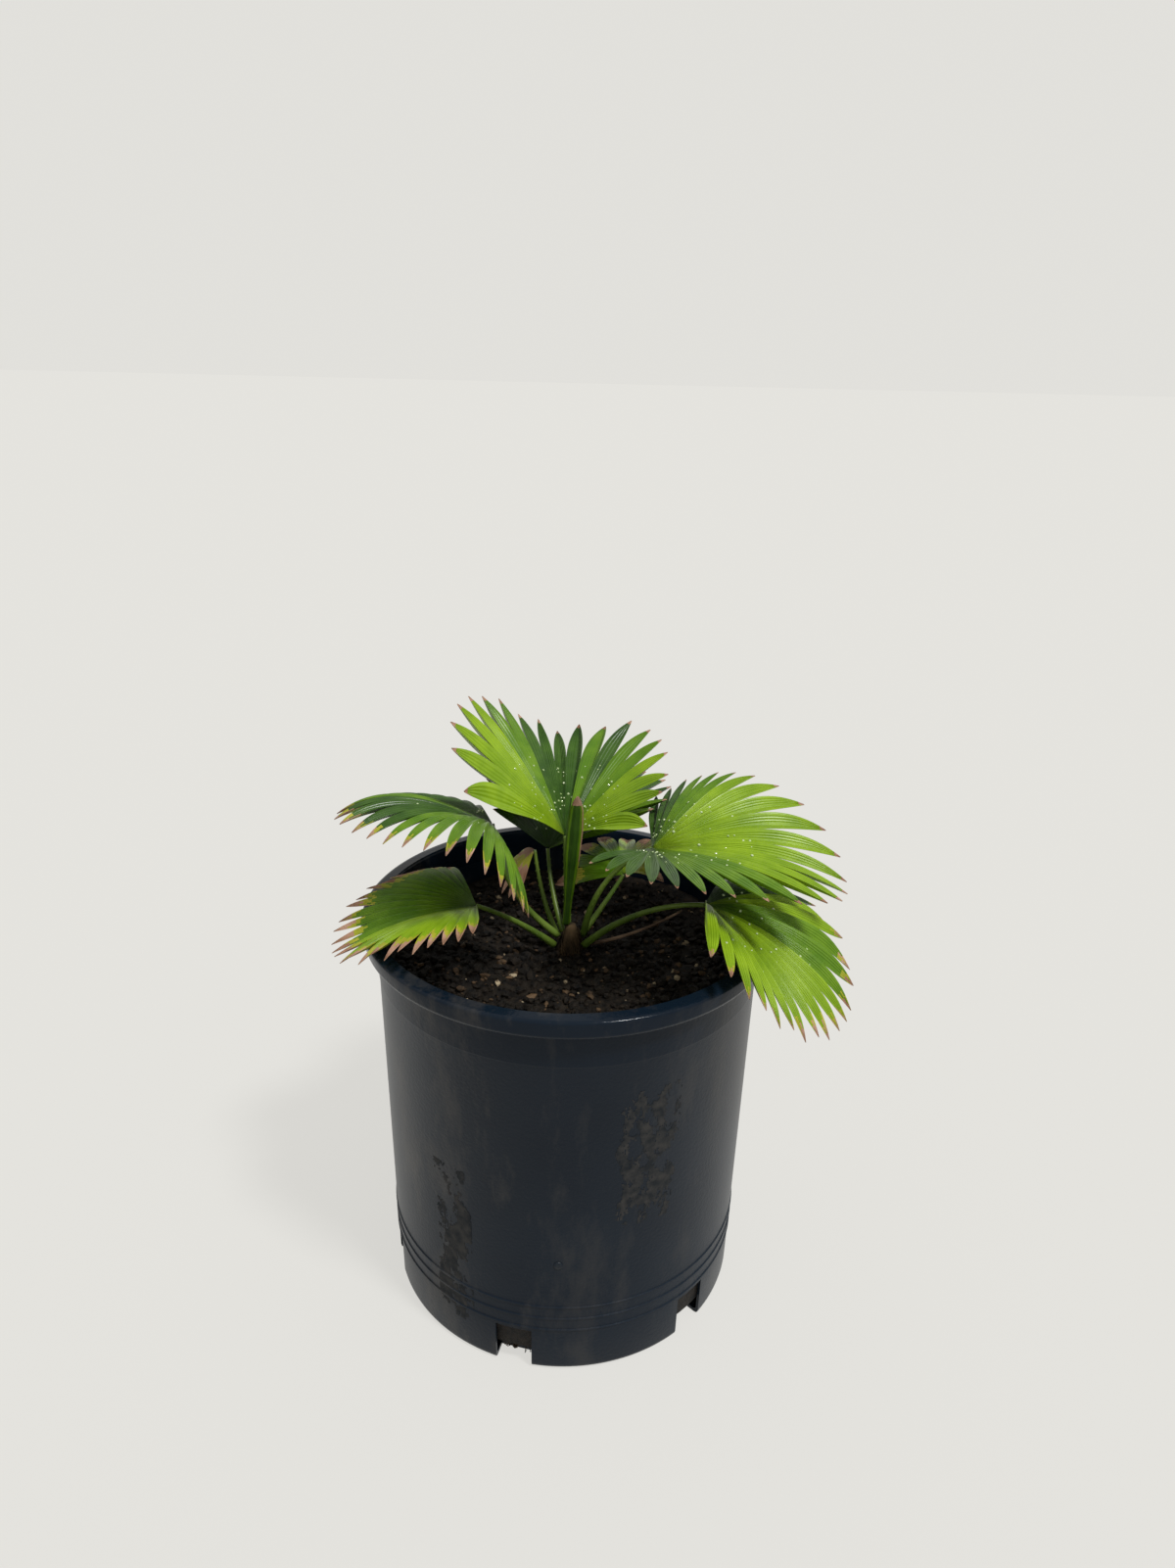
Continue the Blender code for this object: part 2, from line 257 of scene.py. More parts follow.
def pot_finish():
    paint = mottled("pot_black", CLEAN_BLACK, WORN_BLACK, 14.0, WALL_ROUGH, 420.0, 0.00014, specular=0.13)
    nodes, links = paint.node_tree.nodes, paint.node_tree.links
    shader = nodes["Principled BSDF"]
    plastic = shader.inputs["Base Color"].links[0].from_socket
    place = nodes.new("ShaderNodeTexCoord")
    split = nodes.new("ShaderNodeSeparateXYZ")
    links.new(place.outputs["Object"], split.inputs["Vector"])
    stretch = nodes.new("ShaderNodeMapping")
    stretch.inputs["Scale"].default_value = STREAK_STRETCH
    links.new(place.outputs["Object"], stretch.inputs["Vector"])
    streak = nodes.new("ShaderNodeTexNoise")
    streak.inputs["Scale"].default_value = STREAK_GRAIN
    streak.inputs["Detail"].default_value = 8.0
    streak.inputs["Roughness"].default_value = 0.7
    links.new(stretch.outputs["Vector"], streak.inputs["Vector"])
    side = map_range(paint, split.outputs["X"], *FILM_SIDES)
    amount = nodes.new("ShaderNodeMath")
    amount.operation = "MULTIPLY_ADD"
    amount.inputs[2].default_value = FILM_LEAST
    links.new(map_range(paint, streak.outputs["Fac"], *STREAK_EDGES), amount.inputs[0])
    links.new(map_range(paint, side, 0.0, 1.0, *FILM_SHARES), amount.inputs[1])
    blend = nodes.new("ShaderNodeMixRGB")
    blend.inputs["Color2"].default_value = (*DUST_FILM, 1.0)
    links.new(amount.outputs["Value"], blend.inputs["Fac"])
    links.new(plastic, blend.inputs["Color1"])
    links.new(blend.outputs["Color"], shader.inputs["Base Color"])
    gloss = map_range(paint, split.outputs["Z"], *RIM_HEIGHTS, WALL_ROUGH, RIM_ROUGH)
    links.new(gloss, shader.inputs["Roughness"])
    return paint


pot_black = pot_finish()
print("pot finish ready")

# %% [markdown]
# ## The pot
#
# The pot is moulded, so it is a turned shape: a profile spun round the axis. It
# could also be a cylinder that is pushed into shape, but a profile keeps the
# rim, its hanging skirt, the step line and the three thin rings near the base
# as plain radii and heights. Six boxes cut the square drain openings with
# Boolean modifiers, as in the solid model, and the result is kept as the mesh.

# %% Pot
RIM_RADIUS = 0.140
RIM_TOP = 0.286
LIP_RADIUS = 0.1305
SKIRT_BOTTOM = 0.2728
SKIRT_RADIUS = 0.1375
BASE_RADIUS = 0.1252
NECK_RADIUS = 0.1300
STEP_HEIGHT = 0.2476
STEP_DEPTH = 0.0005
WALL = 0.0020
FLOOR_PLATE = 0.0025
RING_HEIGHTS = (0.036, 0.046, 0.056)
RING_RISE = 0.0006
RING_HALF = 0.0011
DRAIN_COUNT = 6
DRAIN_HEADING = math.radians(-104.0)
DRAIN_WIDTH = 0.025
DRAIN_HEIGHT = 0.033
DRAIN_DEPTH = 0.013
CUT_PAST_WALL = 0.004
CUT_PAST_FLOOR = 0.005
POT_STEPS = 192
WELD = 0.000002
SHARP_ANGLE = math.radians(40.0)


def wall_radius(z):
    """The wall's outer radius at height z: the pot widens a little towards its neck."""
    return BASE_RADIUS + (NECK_RADIUS - BASE_RADIUS) * z / SKIRT_BOTTOM


def turned(name, profile, steps):
    """A mesh turned round the axis from a profile of (radius, height) points."""
    form = bmesh.new()
    verts = [form.verts.new((r, 0.0, z)) for r, z in profile]
    for low, high in zip(verts, verts[1:]):
        form.edges.new((low, high))
    bmesh.ops.spin(form, geom=form.verts[:] + form.edges[:], cent=(0, 0, 0), axis=(0, 0, 1),
                   angle=2.0 * math.pi, steps=steps, use_merge=True)
    bmesh.ops.remove_doubles(form, verts=form.verts, dist=WELD)
    bmesh.ops.recalc_face_normals(form, faces=form.faces)
    return to_mesh(form, name)


def pot_profile():
    """Up the inside from the floor's middle, over the rim, and down the outside."""
    step = STEP_HEIGHT
    rings = []
    for z in reversed(RING_HEIGHTS):
        for up, out in ((1.0, 0.0), (0.45, 1.0), (-0.45, 1.0), (-1.0, 0.0)):
            rings.append((wall_radius(z) + out * RING_RISE, z + up * RING_HALF))
    return [
        (0.0, FLOOR_PLATE), (BASE_RADIUS - WALL - 0.002, FLOOR_PLATE),
        (wall_radius(FLOOR_PLATE) - WALL, FLOOR_PLATE + 0.002),
        (wall_radius(SKIRT_BOTTOM) - WALL, SKIRT_BOTTOM),
        (LIP_RADIUS - 0.0008, RIM_TOP - 0.0022), (LIP_RADIUS - 0.0004, RIM_TOP - 0.0008),
        (LIP_RADIUS + 0.0004, RIM_TOP), (LIP_RADIUS + 0.0016, RIM_TOP - 0.0001),
        (RIM_RADIUS - 0.0030, RIM_TOP - 0.0004), (RIM_RADIUS - 0.0012, RIM_TOP - 0.0006),
        (RIM_RADIUS - 0.0003, RIM_TOP - 0.0013), (RIM_RADIUS, RIM_TOP - 0.0024),
        (SKIRT_RADIUS + 0.0010, SKIRT_BOTTOM + 0.0044), (SKIRT_RADIUS + 0.0012, SKIRT_BOTTOM + 0.0030),
        (SKIRT_RADIUS + 0.0009, SKIRT_BOTTOM + 0.0014), (SKIRT_RADIUS + 0.0001, SKIRT_BOTTOM + 0.0003),
        (SKIRT_RADIUS - 0.0012, SKIRT_BOTTOM), (SKIRT_RADIUS - 0.0024, SKIRT_BOTTOM + 0.0006),
        (RIM_RADIUS - 0.0036, RIM_TOP - 0.0034), (NECK_RADIUS + 0.0022, RIM_TOP - 0.0036),
        (NECK_RADIUS + STEP_DEPTH, SKIRT_BOTTOM), (wall_radius(step) + STEP_DEPTH, step + 0.0008),
        (wall_radius(step) + STEP_DEPTH * 0.8, step + 0.0003), (wall_radius(step), step - 0.0006),
        *rings,
        (wall_radius(0.004), 0.004), (BASE_RADIUS - 0.0004, 0.0018), (BASE_RADIUS - 0.0014, 0.0006),
        (BASE_RADIUS - 0.0030, 0.0), (0.0, 0.0),
    ]


def drain_box(heading):
    """A box that cuts one drain opening, past the wall and the floor."""
    middle = BASE_RADIUS - (DRAIN_DEPTH - CUT_PAST_WALL) / 2.0
    size = (DRAIN_DEPTH + CUT_PAST_WALL, DRAIN_WIDTH, DRAIN_HEIGHT + CUT_PAST_FLOOR)
    form = bmesh.new()
    bmesh.ops.create_cube(form, size=1.0)
    bmesh.ops.scale(form, vec=size, verts=form.verts)
    bmesh.ops.translate(form, vec=(middle, 0.0, (DRAIN_HEIGHT - CUT_PAST_FLOOR) / 2.0), verts=form.verts)
    bmesh.ops.rotate(form, cent=(0, 0, 0), matrix=Matrix.Rotation(heading, 3, "Z"), verts=form.verts)
    box = bpy.data.objects.new("drain_box", to_mesh(form, "drain_box", smooth=False))
    bpy.context.scene.collection.objects.link(box)
    return box


def make_pot():
    pot = add_piece(turned("pot_shell", pot_profile(), POT_STEPS), [pot_black], "pot", "pot")
    boxes = [drain_box(DRAIN_HEADING + i * math.tau / DRAIN_COUNT) for i in range(DRAIN_COUNT)]
    for box in boxes:
        cut = pot.modifiers.new("drain", "BOOLEAN")
        cut.object = box
        cut.operation = "DIFFERENCE"
    depsgraph = bpy.context.evaluated_depsgraph_get()
    moulded = bpy.data.meshes.new_from_object(pot.evaluated_get(depsgraph))
    pot.modifiers.clear()
    for box in boxes:
        bpy.data.objects.remove(box, do_unlink=True)
    pot.data = moulded
    moulded.shade_smooth()
    moulded.set_sharp_from_angle(angle=SHARP_ANGLE)
    return pot


pot = make_pot()
print("pot faces", len(pot.data.polygons))

# %% [markdown]
# ## Residue and mould nub
#
# A sticker that is long gone has left two torn patches of dull residue.
# Each patch is a grid bent round the wall a tenth of a millimetre proud of it,
# and noise decides which of its small cells are still there, so that its edges
# are ragged. The nub is where the plastic entered the mould: a low round dome.

# %% Residue and nub
RESIDUE_CELL = 0.0008
RESIDUE_PROUD = 0.00010
RESIDUE_PATCHES = (
    dict(headings=(-131.0, -117.0), heights=(0.024, 0.153), torn=-0.22),
    dict(headings=(-75.0, -55.0), heights=(0.120, 0.225), torn=-0.12),
)
FRAYED_CELLS = 8.0
CELL_STRETCH = (0.9, 0.45, 100.0)
FLAKE_GRAIN = 0.11
FLAKE_LAYERS = ((1.0, 1.0), (3.1, 0.6), (9.0, 0.4))
NUB_HEADING = math.radians(-90.4)
NUB_HEIGHT = 0.093
NUB_RADIUS = 0.003
NUB_RISE = 0.0009
NUB_SUNK = 0.0004

residue_dull = mottled("residue_dull", (0.010, 0.012, 0.014), (0.030, 0.029, 0.028), 160.0, 0.7,
                       1200.0, 0.0001, specular=0.1)


def is_left(column, row, wide, tall, torn):
    """Whether one cell of a patch is still there: noise decides, and the edges are frayed."""
    place = Vector(np.multiply((column, row, torn), CELL_STRETCH)) * FLAKE_GRAIN
    flake = sum(weight * noise.noise(place * grain) for grain, weight in FLAKE_LAYERS)
    inside = min(column, wide - 1 - column, row * 0.5, (tall - 1 - row) * 0.5) / FRAYED_CELLS
    return flake >= torn + 0.5 * max(0.0, 1.0 - inside)


def make_residue():
    form = bmesh.new()
    for patch in RESIDUE_PATCHES:
        start, stop = np.radians(patch["headings"])
        low, high = patch["heights"]
        wide = int((stop - start) * BASE_RADIUS / RESIDUE_CELL)
        tall = int((high - low) / RESIDUE_CELL)
        corners = {}
        for column in range(wide):
            for row in range(tall):
                if not is_left(column, row, wide, tall, patch["torn"]):
                    continue
                cell = [(column, row), (column + 1, row), (column + 1, row + 1), (column, row + 1)]
                for corner in cell:
                    if corner not in corners:
                        heading = start + corner[0] * RESIDUE_CELL / BASE_RADIUS
                        z = low + corner[1] * RESIDUE_CELL
                        out = wall_radius(z) + RESIDUE_PROUD
                        spot = (out * math.cos(heading), out * math.sin(heading), z)
                        corners[corner] = form.verts.new(spot)
                form.faces.new([corners[corner] for corner in cell])
    return add_piece(to_mesh(form, "wall_residue", smooth=False), [residue_dull], "pot")


def make_nub():
    profile = [(NUB_RADIUS, -NUB_SUNK), (NUB_RADIUS, NUB_RISE * 0.4), (NUB_RADIUS * 0.8, NUB_RISE * 0.85),
               (NUB_RADIUS * 0.4, NUB_RISE), (0.0, NUB_RISE)]
    mesh = turned("mould_nub", profile, 24)
    out = wall_radius(NUB_HEIGHT)
    aim = Vector((math.cos(NUB_HEADING), math.sin(NUB_HEADING), 0.0))
    place = Matrix.Translation(aim * out + Vector((0.0, 0.0, NUB_HEIGHT)))
    mesh.transform(place @ aim.to_track_quat("Z", "Y").to_matrix().to_4x4())
    return add_piece(mesh, [pot_black], "pot")


residue = make_residue()
nub = make_nub()
print("residue cells", len(residue.data.polygons), "nub", len(nub.data.vertices), "points")

# %% [markdown]
# ## The soil
#
# Damp potting mix is a dark, crumbly surface with a few paler bits of bark and
# grit. The crumbs are real shapes here, because at this size a bump alone looks
# like paint: a disc is pushed up and down by noise of several sizes, and many
# small broken stones are laid over it. Below it the soil is a plain round block
# that shows through the drain openings.

# %% Soil
SOIL_TOP = 0.2500
SOIL_RINGS = 110
SOIL_SPOKES = 260
SOIL_ROUGH = 0.0042
SOIL_SUNK = 0.0008
NO_SHIFT = Vector((0.0, 0.0, 0.0))
SOIL_LUMPS = (
    (26.0, 0.55, NO_SHIFT),
    (75.0, 0.5, Vector((3.0, 1.0, 0.0))),
    (210.0, 0.35, NO_SHIFT),
    (460.0, 0.2, NO_SHIFT),
)
SOIL_BANK_FROM = 0.112
SOIL_BANK_SLOPE = 0.09375
SOIL_CLEAR = 0.0002
SOIL_FOOT = (wall_radius(0.016) - WALL - 0.0003, 0.0155)
SOIL_SOLE = (BASE_RADIUS - WALL - 0.012, FLOOR_PLATE + 0.0004)

soil_dark = mottled("soil_dark", (0.0014, 0.0012, 0.0012), (0.0140, 0.0100, 0.0065), 210.0, 0.55,
                    1500.0, 0.0008, specular=0.12)
grit_brown = mottled("grit_brown", (0.020, 0.012, 0.006), (0.085, 0.050, 0.024), 120.0, 0.7, 900.0, 0.0003,
                     specular=0.2)
grit_pale = mottled("grit_pale", (0.16, 0.12, 0.075), (0.36, 0.29, 0.19), 90.0, 0.8, 900.0, 0.0003,
                    specular=0.2)


def soil_height(x, y):
    """Height of the soil's surface over a point: lumps and crumbs, banked up a little at the wall."""
    spot = Vector((x, y, 0.0))
    relief = sum(weight * noise.noise(spot * grain + shift) for grain, weight, shift in SOIL_LUMPS)
    bank = SOIL_BANK_SLOPE * max(0.0, math.hypot(x, y) - SOIL_BANK_FROM)
    return SOIL_TOP - SOIL_SUNK + SOIL_ROUGH * relief + bank


def on_circle(radius, step, steps):
    turn = math.tau * step / steps
    return radius * math.cos(turn), radius * math.sin(turn)


def make_soil():
    inner = wall_radius(SOIL_TOP) - WALL - SOIL_CLEAR
    form = bmesh.new()
    rings = []
    for k in range(1, SOIL_RINGS + 1):
        spots = [on_circle(inner * k / SOIL_RINGS, j, SOIL_SPOKES) for j in range(SOIL_SPOKES)]
        rings.append([form.verts.new((x, y, soil_height(x, y))) for x, y in spots])
    for radius, z in ((inner, SOIL_TOP - 0.012), SOIL_FOOT, SOIL_SOLE, (0.002, SOIL_SOLE[1])):
        rings.append([form.verts.new((*on_circle(radius, j, SOIL_SPOKES), z)) for j in range(SOIL_SPOKES)])
    centre = form.verts.new((0.0, 0.0, soil_height(0.0, 0.0)))
    for j in range(SOIL_SPOKES):
        beside = (j + 1) % SOIL_SPOKES
        form.faces.new((centre, rings[0][j], rings[0][beside]))
        for near, far in zip(rings, rings[1:]):
            form.faces.new((near[j], far[j], far[beside], near[beside]))
    form.faces.new(rings[-1])
    bmesh.ops.recalc_face_normals(form, faces=form.faces)
    return add_piece(to_mesh(form, "soil_mix"), [soil_dark], "soil", "soil")


soil = make_soil()
print("soil faces", len(soil.data.polygons))

# %% [markdown]
# ## Grit on the soil
#
# Each bit is a small icosphere, squashed and turned, with its corners pushed
# about, so that no two look the same. Most are small and a few are large, as in
# any sieved mix. They are joined into one mesh for each colour.

# %% Grit
GRIT_RADIUS = 0.121
GRIT_TILT = 0.6
GRIT_PUSH = (0.75, 1.2)
MANY_SMALL = 2.5


def make_grit(name, count, small, large, paint, seed):
    chance = random.Random(seed)
    form = bmesh.new()
    for _ in range(count):
        turn = chance.uniform(0.0, math.tau)
        out = GRIT_RADIUS * math.sqrt(chance.random())
        x, y = out * math.cos(turn), out * math.sin(turn)
        size = small + (large - small) * chance.random() ** MANY_SMALL
        made = bmesh.ops.create_icosphere(form, subdivisions=1, radius=size)["verts"]
        squash = Vector((chance.uniform(0.7, 1.3), chance.uniform(0.6, 1.1), chance.uniform(0.4, 0.8)))
        spin = Matrix.Rotation(chance.uniform(0.0, 6.28), 3, "Z")
        tilt = Matrix.Rotation(chance.uniform(-GRIT_TILT, GRIT_TILT), 3, "X")
        place = Vector((x, y, soil_height(x, y) + size * 0.25))
        for vert in made:
            vert.co = spin @ tilt @ (vert.co * squash) * chance.uniform(*GRIT_PUSH) + place
    return add_piece(to_mesh(form, name, smooth=False), [paint], "soil")


for name, count, small, large, paint, seed in (
        ("crumbs_dark", 3400, 0.0008, 0.0046, soil_dark, 11),
        ("crumbs_brown", 800, 0.0005, 0.0034, grit_brown, 12),
        ("crumbs_pale", 130, 0.0005, 0.0030, grit_pale, 13)):
    grit = make_grit(name, count, small, large, paint, seed)
    print(name, len(grit.data.vertices), "points")

# %% [markdown]
# ## Leaf finishes
#
# A living leaf is green in several tones, and an older one dries from its tips
# inward: first yellow, then a pinkish brown. Each tone is a finish of its own
# and is dealt out by faces. The bright and deep greens are also painted light
# and shade: bright on the sides of a fan that face the light, deep on those that
# face away or lie under other leaves. Fine veins run along every segment. They
# are lines of relief that follow the leaf's own map, in which one direction runs
# across the blade and the other from the hub to the tips.

# %% Leaf finishes
VEIN_LINES = 9.0
VEIN_DEPTH = 0.00012


def leaf_finish(name, dark, light, rough):
    paint = mottled(name, dark, light, 55.0, rough, 700.0, 0.00003, specular=0.2)
    nodes, links = paint.node_tree.nodes, paint.node_tree.links
    shader = nodes["Principled BSDF"]
    fine_normal = shader.inputs["Normal"].links[0].from_socket
    leaf_map = nodes.new("ShaderNodeUVMap")
    leaf_map.uv_map = "leaf_map"
    split = nodes.new("ShaderNodeSeparateXYZ")
    links.new(leaf_map.outputs["UV"], split.inputs["Vector"])
    lines = nodes.new("ShaderNodeMath")
    lines.operation = "MULTIPLY"
    lines.inputs[1].default_value = VEIN_LINES * math.tau
    links.new(split.outputs["X"], lines.inputs[0])
    wave = nodes.new("ShaderNodeMath")
    wave.operation = "COSINE"
    links.new(lines.outputs["Value"], wave.inputs[0])
    bump = nodes.new("ShaderNodeBump")
    bump.inputs["Distance"].default_value = VEIN_DEPTH
    links.new(wave.outputs["Value"], bump.inputs["Height"])
    links.new(fine_normal, bump.inputs["Normal"])
    links.new(bump.outputs["Normal"], shader.inputs["Normal"])
    return paint


# bright and deep are partly the leaf's own greens and partly painted light and shade, bright on lit sides and
# deep on shaded ones.
leaf_paints = {
    "bright": leaf_finish("leaf_bright_and_painted_light", (0.130, 0.225, 0.006), (0.190, 0.300, 0.010), 0.30),
    "green": leaf_finish("leaf_green", (0.058, 0.135, 0.004), (0.100, 0.190, 0.008), 0.30),
    "deep": leaf_finish("leaf_deep_and_painted_shade", (0.020, 0.056, 0.006), (0.040, 0.092, 0.010), 0.28),
    "yellow": leaf_finish("leaf_yellow", (0.230, 0.250, 0.014), (0.330, 0.320, 0.030), 0.40),
    "dry": leaf_finish("leaf_dry", (0.220, 0.110, 0.062), (0.420, 0.260, 0.180), 0.75),
}
PAINT_ORDER = list(leaf_paints)
stalk_green = mottled("stalk_green", (0.045, 0.080, 0.010), (0.095, 0.145, 0.020), 60.0, 0.34, 500.0, 0.00005,
                      specular=0.2, stretch=(1.0, 1.0, 0.3))
stalk_dry = mottled("stalk_dry", (0.070, 0.040, 0.022), (0.200, 0.130, 0.080), 80.0, 0.8, 500.0, 0.0001)
print("leaf finishes", len(leaf_paints))

# %% [markdown]
# ## The leaves' guide ribs
#
# A fan leaf is best described by its ribs. Five guides give heading, rise and
# reach from one edge of the fan round to the other, and a smooth line through
# them gives every other rib. The same few named sizes drive the solid model, so
# the fine blades below lie where the solid ones do. The tones run round the fan
# from its first segment to its last, and tips is the share that has dried. The
# tones are partly the leaf's own greens and partly painted light and shade: deep
# on the sides that face away or lie under other leaves, bright on lit sides.

# %% Leaves
LEAVES = {
    "front_left": dict(
        hub=(-60, -30, 300), segments=25,
        heading=(113, 160, 202, 238, 278), rise=(18, 13, 3, 18, 28), reach=(58, 82, 98, 87, 64),
        sag=(0.6, 0.6), late=1.3, fused=0.68,
        foot=(-10, -1, 255.5), bow=(0, 0, 3), stalk=(2.3, 1.5),
        tones=("green", "green", "green", "bright", "bright"), tips=0.10),
    "left": dict(
        hub=(-52, 3, 344), segments=23,
        heading=(112, 166, 226, 271, 306), rise=(8, 20, 30, 26, -36), reach=(48, 103, 106, 98, 63),
        sag=(1.0, 1.0), late=1.9, fused=0.56,
        foot=(-7.5, 5, 260), bow=(-9, 0, -6), stalk=(2.3, 1.4),
        tones=("deep", "green", "deep", "green", "green"), tips=0.05),
    "centre": dict(
        hub=(-4, 33, 323), segments=19,
        heading=(-48, 30, 95, 146, 235), rise=(33, 48, 25, 52, 40), reach=(76, 99, 122, 118, 107),
        sag=(0.15, 0.4), late=0.6, fused=0.62,
        foot=(-1, 10.5, 266), bow=(0, 3, -2), stalk=(2.3, 1.6),
        tones=("bright", "bright", "green", "deep", "deep", "green", "bright", "bright"), tips=0.01),
    "back": dict(
        hub=(-17, 54, 303), segments=16,
        heading=(-45, 20, 83, 151, 224), rise=(31, 28, 20, 55, 41), reach=(74, 102, 108, 79, 61),
        sag=(0.5, 0.1), late=1.7, fused=0.55,
        foot=(-4, 13, 258), bow=(-2, 0, 0), stalk=(2.1, 1.3),
        tones=("green", "deep", "deep", "deep"), tips=0.01),
    "right": dict(
        hub=(55, 1, 330), segments=24,
        heading=(-128, -73, -14, 43, 89), rise=(15, 17, 10, 28, 0), reach=(77, 115, 133, 100, 77),
        sag=(0.7, 0.0), late=1.5, fused=0.55,
        foot=(10.4, 5, 261), bow=(-8, 0, 7), stalk=(2.2, 1.5),
        tones=("deep", "deep", "green", "bright", "bright", "green", "deep"), tips=0.01),
    "low_right": dict(
        hub=(38, 33, 294), segments=11,
        heading=(-66, -9, 68, 120, 166), rise=(31, 42, 16, 15, -16), reach=(47, 56, 67, 61, 59),
        sag=(0.8, 0.7), late=1.5, fused=0.45,
        foot=(8.5, 11, 256), bow=(0, 0, -1), stalk=(2.3, 1.4),
        tones=("yellow", "bright", "green"), tips=0.22),
    "front_right": dict(
        hub=(89, -33, 306), segments=22,
        heading=(-98, -62, -29, 19, 65), rise=(42, 7, 0, 19, 24), reach=(82, 109, 115, 88, 54),
        sag=(1.0, 1.1), late=1.0, fused=0.70,
        foot=(11, -1, 255.5), bow=(-2, 0, 9), stalk=(2.4, 1.6),
        tones=("bright", "bright", "green", "bright", "deep"), tips=0.03),
    "withered": dict(
        hub=(-25, 26, 315), segments=6,
        heading=(120, 150, 180, 210, 240), rise=(5, -10, -25, -35, -40), reach=(34, 38, 42, 40, 34),
        sag=(1.6, 1.6), late=0.8, fused=0.40,
        foot=(-7.5, 10.5, 255.5), bow=(-2, 0, -3), stalk=(2.0, 1.2),
        tones=("dry",), tips=0.5),
}
print("leaves", ", ".join(LEAVES))

# %% [markdown]
# ## From guides to ribs
#
# `through` reads a smooth line through evenly spaced values. `ribs` turns the
# guides into lines in space: each rib leaves the hub along its own direction
# and is pulled down more and more towards its tip, as a blade's weight does.

# %% Ribs
RIB_STEPS = 48


def through(values, u):
    """A smooth line through evenly spaced guide values, read at each u in 0 to 1."""
    values = np.asarray(values, float).reshape(len(values), -1)
    spans = len(values) - 1
    first = 3.0 * values[0] - 3.0 * values[1] + values[2]
    last = 3.0 * values[-1] - 3.0 * values[-2] + values[-3]
    knots = np.vstack([first, values, last])
    place = np.asarray(u, float) * spans
    span = np.clip(np.floor(place).astype(int), 0, spans - 1)
    f = (place - span)[:, None]
    a, b, c, d = (knots[span + k] for k in range(4))
    return 0.5 * (2.0 * b + (c - a) * f + (2.0 * a - 5.0 * b + 4.0 * c - d) * f ** 2
                  + (3.0 * b - a - 3.0 * c + d) * f ** 3)


def unit(vectors):
    """The same directions, each one long."""
    return vectors / np.linalg.norm(vectors, axis=-1, keepdims=True)


def ribs(leaf, u):
    """Ribs from the hub at each u, as RIB_STEPS + 1 points in millimetres, and their reach."""
    heading = np.radians(leaf["heading"])
    rise = np.radians(leaf["rise"])
    guides = np.stack([np.cos(rise) * np.cos(heading), np.cos(rise) * np.sin(heading), np.sin(rise)], -1)
    aim = unit(through(guides, u))
    reach = through(leaf["reach"], u)[:, 0]
    edge = np.abs(2.0 * np.asarray(u) - 1.0)
    sag = leaf["sag"][0] * (1.0 - edge) + leaf["sag"][1] * edge
    share = np.linspace(0.0, 1.0, RIB_STEPS + 1)
    pull = (share ** leaf["late"])[None, :] * sag[:, None]
    course = unit(aim[:, None, :] + pull[:, :, None] * np.array([0.0, 0.0, -1.0]))
    step = 0.5 * (course[:, 1:] + course[:, :-1]) / RIB_STEPS
    line = np.concatenate([np.zeros_like(course[:, :1]), np.cumsum(step, axis=1)], axis=1)
    return np.array(leaf["hub"], float) + line * reach[:, None, None], reach


def jitter(seed, i):
    """A fixed value in -1 to 1 for segment i of a leaf."""
    return math.sin(seed * 12.9898 + i * 78.233 + 1.7 * math.sin(i * 3.1 + seed))


print("rib points per leaf", RIB_STEPS + 1)

# %% [markdown]
# ## A blade
#
# The blade is folded like a paper fan: each segment is a shallow V with its
# own rib at the bottom, and neighbours share an edge until the leaf splits.
# Past the split each segment narrows to a point and hangs a little lower or
# higher than the next. A grid for each segment is bent onto the ribs, its
# shared edges are welded, and a Solidify modifier gives the leaf its thickness.

# %% Blade
ACROSS = 8
ALONG = 30
PLEAT = 0.34
PLEAT_START = 5.0
PLEAT_FULL = 30.0
TIP_WIDTH = 0.03
DROOP_SHARE = 0.035
TAPER_POWER = 1.9
SPLIT_SPREAD = 0.045
HUB_RADIUS = 1.5
LEAF_THICKNESS = 0.00035
WELD_BLADE = 0.00001
JUST_DRY_TIPS = 0.02
YELLOW_REACH = 1.4
YELLOW_BAND = 0.02
TONE_MIX = 0.45


def blade_field(leaf):
    """Points, normals and pleat heights at each segment's middle and edges, in millimetres."""
    u = np.linspace(0.0, 1.0, 2 * leaf["segments"] + 1)
    lines, reach = ribs(leaf, u)
    start = (HUB_RADIUS / reach)[:, None]
    rows = start + (1.0 - start) * np.linspace(0.0, 1.0, ALONG + 1)[None, :]
    place = rows * RIB_STEPS
    low = np.clip(np.floor(place).astype(int), 0, RIB_STEPS - 1)
    f = (place - low)[:, :, None]
    index = np.arange(len(lines))[:, None]
    points = lines[index, low] * (1.0 - f) + lines[index, low + 1] * f
    along = np.gradient(points, axis=1)
    across = np.gradient(points, axis=0)
    normal = unit(np.cross(along, across))
    span = np.linalg.norm(across, axis=2)
    far = np.linalg.norm(points - np.array(leaf["hub"], float), axis=2)
    fold = PLEAT * np.clip((far - PLEAT_START) / (PLEAT_FULL - PLEAT_START), 0.0, 1.0)
    return points, normal, fold * span, rows, reach


